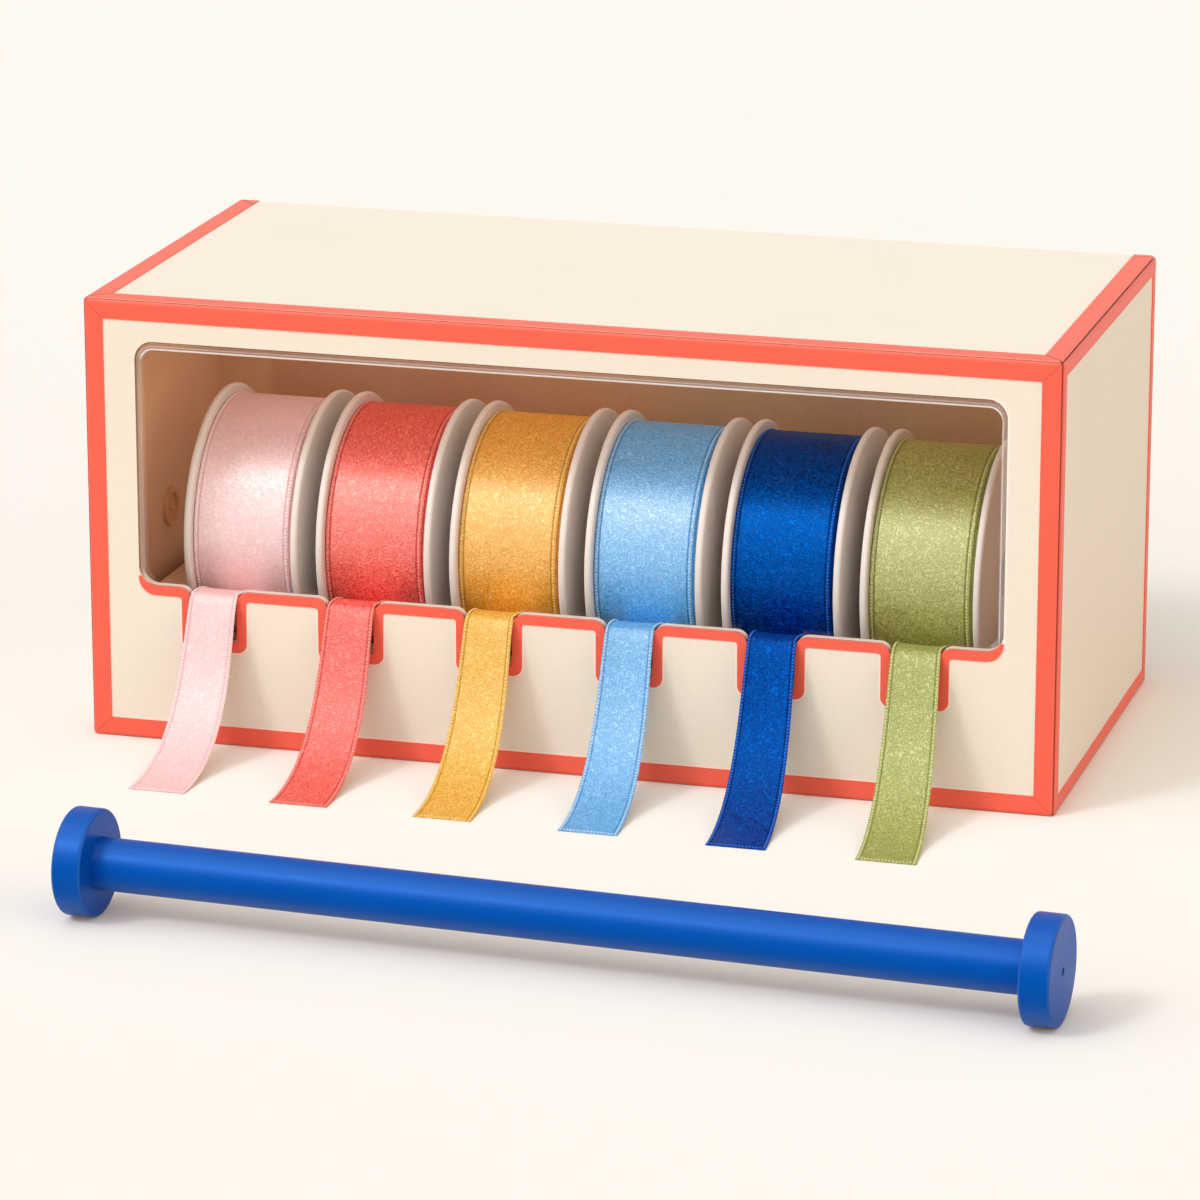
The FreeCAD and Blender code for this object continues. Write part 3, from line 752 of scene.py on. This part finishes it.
def bezier(poles, share):
    a, b, c, d = poles
    rest = 1 - share
    return (a * rest ** 3 + b * (3 * rest ** 2 * share) + c * (3 * rest * share ** 2)
            + d * share ** 3)


def tail_line(reach):
    """Middle line of a free ribbon end, seen from the side, at even steps of about 1 mm: places,
    how far the ribbon is open at each (0 in the notch, 1 at its two ends), and its length."""
    angle = math.radians(TAIL_LEAVE_ANGLE)
    radius = PACK_RADIUS + TAIL_GAP + TAIL_THICKNESS / 2
    leave = Vector((0, AXIS_Y - radius * math.sin(angle), AXIS_Z - radius * math.cos(angle)))
    heading = Vector((0, -math.cos(angle), math.sin(angle)))
    crest = Vector((0, FRONT + TAIL_CREST_SETBACK, SILL - TAIL_CREST_DROP))
    end = Vector((0, FRONT - reach, TAIL_THICKNESS / 2 + TAIL_TABLE_GAP))
    rise = (crest - leave).length * TAIL_HANDLE
    curves = [[leave, leave + heading * rise, crest + Vector((0, rise, 0)), crest],
              [crest, crest - Vector((0, TAIL_FOLD, 0)), end + Vector((0, TAIL_SWEEP, 0)), end]]
    dense = []
    for number, poles in enumerate(curves):
        dense += [bezier(poles, step / CURVE_STEPS) for step in range(number, CURVE_STEPS + 1)]
    lengths = [0.0]
    for before, after in zip(dense, dense[1:]):
        lengths.append(lengths[-1] + (after - before).length)
    total = lengths[-1]
    crest_at = lengths[CURVE_STEPS]
    count = round(total)
    line = []
    opening = []
    at = 0
    for step in range(count + 1):
        target = total * step / count
        while at < len(lengths) - 2 and lengths[at + 1] < target:
            at += 1
        share = (target - lengths[at]) / (lengths[at + 1] - lengths[at])
        line.append(dense[at].lerp(dense[at + 1], share))
        if target > crest_at:
            opening.append((target - crest_at) / (total - crest_at))
        else:
            opening.append(1 - target / crest_at)
    return line, opening, total


class TailShape:
    """Where the points of one free ribbon end lie: by step along it and by place across it."""

    def __init__(self, index):
        self.index = index
        row = row_place(index)
        reach = TAIL_REACH + TAIL_REACH_STEP * index
        line, self.opening, self.total = tail_line(reach)
        self.steps = len(line)
        self.frames = []
        for step, here in enumerate(line):
            along = (line[min(step + 1, self.steps - 1)] - line[max(step - 1, 0)]).normalized()
            forward = (FRONT + TAIL_CREST_SETBACK - here.y) / (TAIL_CREST_SETBACK + reach)
            x = (ROW_SHIFT + row * NOTCH_PITCH + TAIL_CREST_SHIFT
                 + (TAIL_DRIFT + row * TAIL_FAN) * forward)
            up = Vector((0, -along.z, along.y))
            self.frames.append((Vector((x, here.y, here.z)), along, up))

    def spot(self, step, place, height):
        """Point at a place across the flat ribbon and a height over its surface's middle."""
        centre, _, up = self.frames[step]
        opened = self.opening[step]
        width = TAIL_CREST_WIDTH + (TAIL_WIDTH - TAIL_CREST_WIDTH) * opened
        free = min(1.0, (self.steps - 1 - step) / FLAT_END)
        share = 2 * place / TAIL_WIDTH
        cup = free * (0.25 + 0.75 * (1 - opened) ** 3) * (1 - share * share)
        seed = Vector((place * 0.07, step * 0.035, self.index * 5.0))
        wave = WAVE * free * noise.noise(seed)
        return centre + TO_THE_RIGHT * (share * width / 2) + up * (height + CUP * cup + wave)


def tail(index):
    """Free ribbon end: a thin strip with woven edges, slightly cupped, cut straight at its end."""
    colour = COLOURS[index]
    shape = TailShape(index)
    across = width_samples(TAIL_WIDTH)
    points = []
    faces = []
    for side in (1, -1):
        for step in range(shape.steps):
            for place in across:
                roll = selvedge_height(TAIL_WIDTH / 2 - abs(place)) * TAIL_SELVEDGE
                height = side * (TAIL_THICKNESS / 2 - SELVEDGE_RISE)
                height += roll if side > 0 else -min(0.0, roll)
                points.append(shape.spot(step, place, height))
    row = len(across)
    sheet = row * shape.steps
    sewn_down = groove_columns(TAIL_WIDTH)
    kinds = []
    for side in (0, 1):
        for step in range(shape.steps - 1):
            for place in range(row - 1):
                corner = side * sheet + step * row + place
                quad = (corner, corner + row, corner + row + 1, corner + 1)
                faces.append(quad if side == 0 else quad[::-1])
                kinds.append(GROOVE_FACE if place in sewn_down else SATIN_FACE)
    rim = [step * row for step in range(shape.steps)]
    rim += [(shape.steps - 1) * row + place for place in range(1, row)]
    rim += [step * row + row - 1 for step in range(shape.steps - 2, -1, -1)]
    rim += list(range(row - 2, 0, -1))
    for here, after in zip(rim, rim[1:] + rim[:1]):
        faces.append((here, here + sheet, after + sheet, after))
    kinds += [SATIN_FACE] * (len(faces) - len(kinds))
    sewn = TAIL_THICKNESS / 2 - TAIL_STITCH_SINK
    for face, side in ((1, -1), (1, 1), (-1, -1), (-1, 1)):
        place = side * (TAIL_WIDTH / 2 - STITCH_INSET)
        for number in range(1, int(shape.total / STITCH_PITCH)):
            step = min(round(number * STITCH_PITCH), shape.steps - 2)
            _, along, up = shape.frames[step]
            slip = along * (number * STITCH_PITCH - step)
            add_stitch(points, faces, shape.spot(step, place, face * sewn) + slip, along,
                       TO_THE_RIGHT * face, up * face)
    _, along, up = shape.frames[-1]
    for number in range(int(TAIL_WIDTH / STITCH_PITCH)):
        place = -TAIL_WIDTH / 2 + (number + 0.6) * STITCH_PITCH
        spot = shape.spot(shape.steps - 1, place, -sewn) - along * END_STITCH_INSET
        add_stitch(points, faces, spot, TO_THE_RIGHT, -along, -up)
    for point in points:
        point.z = max(point.z, TABLE_CLEARANCE)
    kinds += [STITCH_FACE] * (len(faces) - len(kinds))
    piece = new_object(colour + "_ribbon_end", points, faces, end_finishes[colour], kinds)
    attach(piece, "box")
    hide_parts(colour + "_tail")


for spool_index in range(len(COLOURS)):
    winding(spool_index)
    tail(spool_index)

# ---- Camera, in metres --------------------------------------------------------------------------

CAMERA_AZIMUTH = 15.82
CAMERA_ELEVATION = 16.201
CAMERA_AIM = Vector((0, 0, 0.0825))
CAMERA_DISTANCE = 2.18395
CAMERA_LEFT = 0.01013
CAMERA_DOWN = 0.03937


def direction(azimuth_deg, elevation_deg):
    """Unit vector from the box, by its azimuth from the front to the right and its elevation."""
    turn = math.radians(azimuth_deg)
    rise = math.radians(elevation_deg)
    return Vector((math.sin(turn) * math.cos(rise), -math.cos(turn) * math.cos(rise),
                   math.sin(rise)))


def place_facing(name, data, towards, location=(0, 0, 0)):
    """Camera or lamp that looks towards a direction."""
    thing = bpy.data.objects.new(name, data)
    thing.location = location
    thing.rotation_mode = "QUATERNION"
    thing.rotation_quaternion = towards.to_track_quat("-Z", "Y")
    bpy.context.scene.collection.objects.link(thing)
    return thing


back_way = direction(CAMERA_AZIMUTH, CAMERA_ELEVATION)
right_way = direction(CAMERA_AZIMUTH + 90.0, 0.0)
up_way = back_way.cross(right_way)
camera_data = bpy.data.cameras.new("camera")
camera_data.sensor_width = 36.0             # this and the lens are in millimetres
camera_data.lens = 176.88
camera_data.clip_start = 0.05
camera_data.clip_end = 60.0
bpy.context.scene.camera = place_facing(
    "camera", camera_data, -back_way,
    CAMERA_AIM + back_way * CAMERA_DISTANCE - right_way * CAMERA_LEFT - up_way * CAMERA_DOWN)

# ---- Floor, backdrop and light, in metres -------------------------------------------------------

FLOOR_REACH = 9.0


def floor_material():
    """Pale table: to the camera as it is, and duller in the light that it throws on the box."""
    material = bpy.data.materials.new("floor")
    graph = Graph(material)
    seen = graph.seen_by("Camera", "Glossy")
    bsdf = graph.tree.nodes["Principled BSDF"]
    for name, value in (("Base Color", graph.mix(seen, TABLE_BOUNCE, TABLE)),
                        ("Roughness", 0.85), ("Specular IOR Level", 0.1),
                        ("Emission Color", TABLE_GLOW),
                        ("Emission Strength", graph.times(seen, 0.09))):
        graph.put(bsdf.inputs[name], value)
    return material


def studio_world():
    """White room, brighter in front of the box than behind it, and plain white to the camera."""
    world = bpy.data.worlds.new("studio")
    graph = Graph(world)
    to_the_back = graph.split(graph.add("TexCoord").outputs["Generated"])[1]
    seen = graph.seen_by("Camera", "Glossy", "Transmission")
    strength = graph.mix_numbers(seen, graph.ramp(to_the_back, 0.0, -1.0, 0.38, 0.96), 1.0)
    sky = graph.tree.nodes["Background"]
    graph.put(sky.inputs["Color"], graph.mix(seen, SKY, BACKGROUND))
    graph.put(sky.inputs["Strength"], strength)
    return world


floor_mesh = bpy.data.meshes.new("floor")
floor_mesh.from_pydata([(-FLOOR_REACH, -FLOOR_REACH, 0), (FLOOR_REACH, -FLOOR_REACH, 0),
                        (FLOOR_REACH, FLOOR_REACH, 0), (-FLOOR_REACH, FLOOR_REACH, 0)],
                       [], [(0, 1, 2, 3)])
floor_mesh.materials.append(floor_material())
floor = bpy.data.objects.new("floor", floor_mesh)
bpy.context.scene.collection.objects.link(floor)

bpy.context.scene.world = studio_world()


def lamp(name, azimuth_deg, elevation_deg, power, spread_deg, colour):
    """Wide soft light from one direction. Its power is the brightness that it gives to a white
    surface that faces it."""
    data = bpy.data.lights.new(name, "SUN")
    data.energy = power * math.pi
    data.angle = math.radians(spread_deg)
    data.color = colour
    place_facing(name, data, -direction(azimuth_deg, elevation_deg))


def fill_lamp(name, place, size, towards, power, colour):
    """Weak plain fill inside the box, for the light that a pale room throws into it."""
    data = bpy.data.lights.new(name, "AREA")
    data.shape = "RECTANGLE"
    data.size, data.size_y = size
    data.energy = power
    data.color = colour
    light = place_facing(name, data, Vector(towards), place)
    light.visible_camera = False
    light.visible_glossy = False
    light.visible_transmission = False


lamp("key", -42.0, 44.0, 0.25, 14.0, (1.0, 1.0, 1.0))
lamp("key_wide", -42.0, 46.0, 0.27, 74.0, (1.0, 1.0, 1.0))
lamp("right", 78.0, 14.0, 0.27, 50.0, (1.0, 0.78, 0.55))
lamp("overhead", 0.0, 88.0, 0.12, 90.0, (1.0, 0.97, 0.97))
fill_lamp("fill_top", (0.0, -0.010, 0.1565), (0.320, 0.130), (0, 0, -1), 0.061, (1.0, 0.86, 0.74))
fill_lamp("fill_left", (-0.1522, -0.015, 0.072), (0.110, 0.095), (-1, 0, 0), 0.0066,
          (1.0, 0.82, 0.74))
fill_lamp("fill_right", (0.1720, -0.015, 0.072), (0.110, 0.095), (-1, 0, 0), 0.0060,
          (1.0, 1.0, 0.90))

bpy.context.scene.view_settings.view_transform = "Standard"
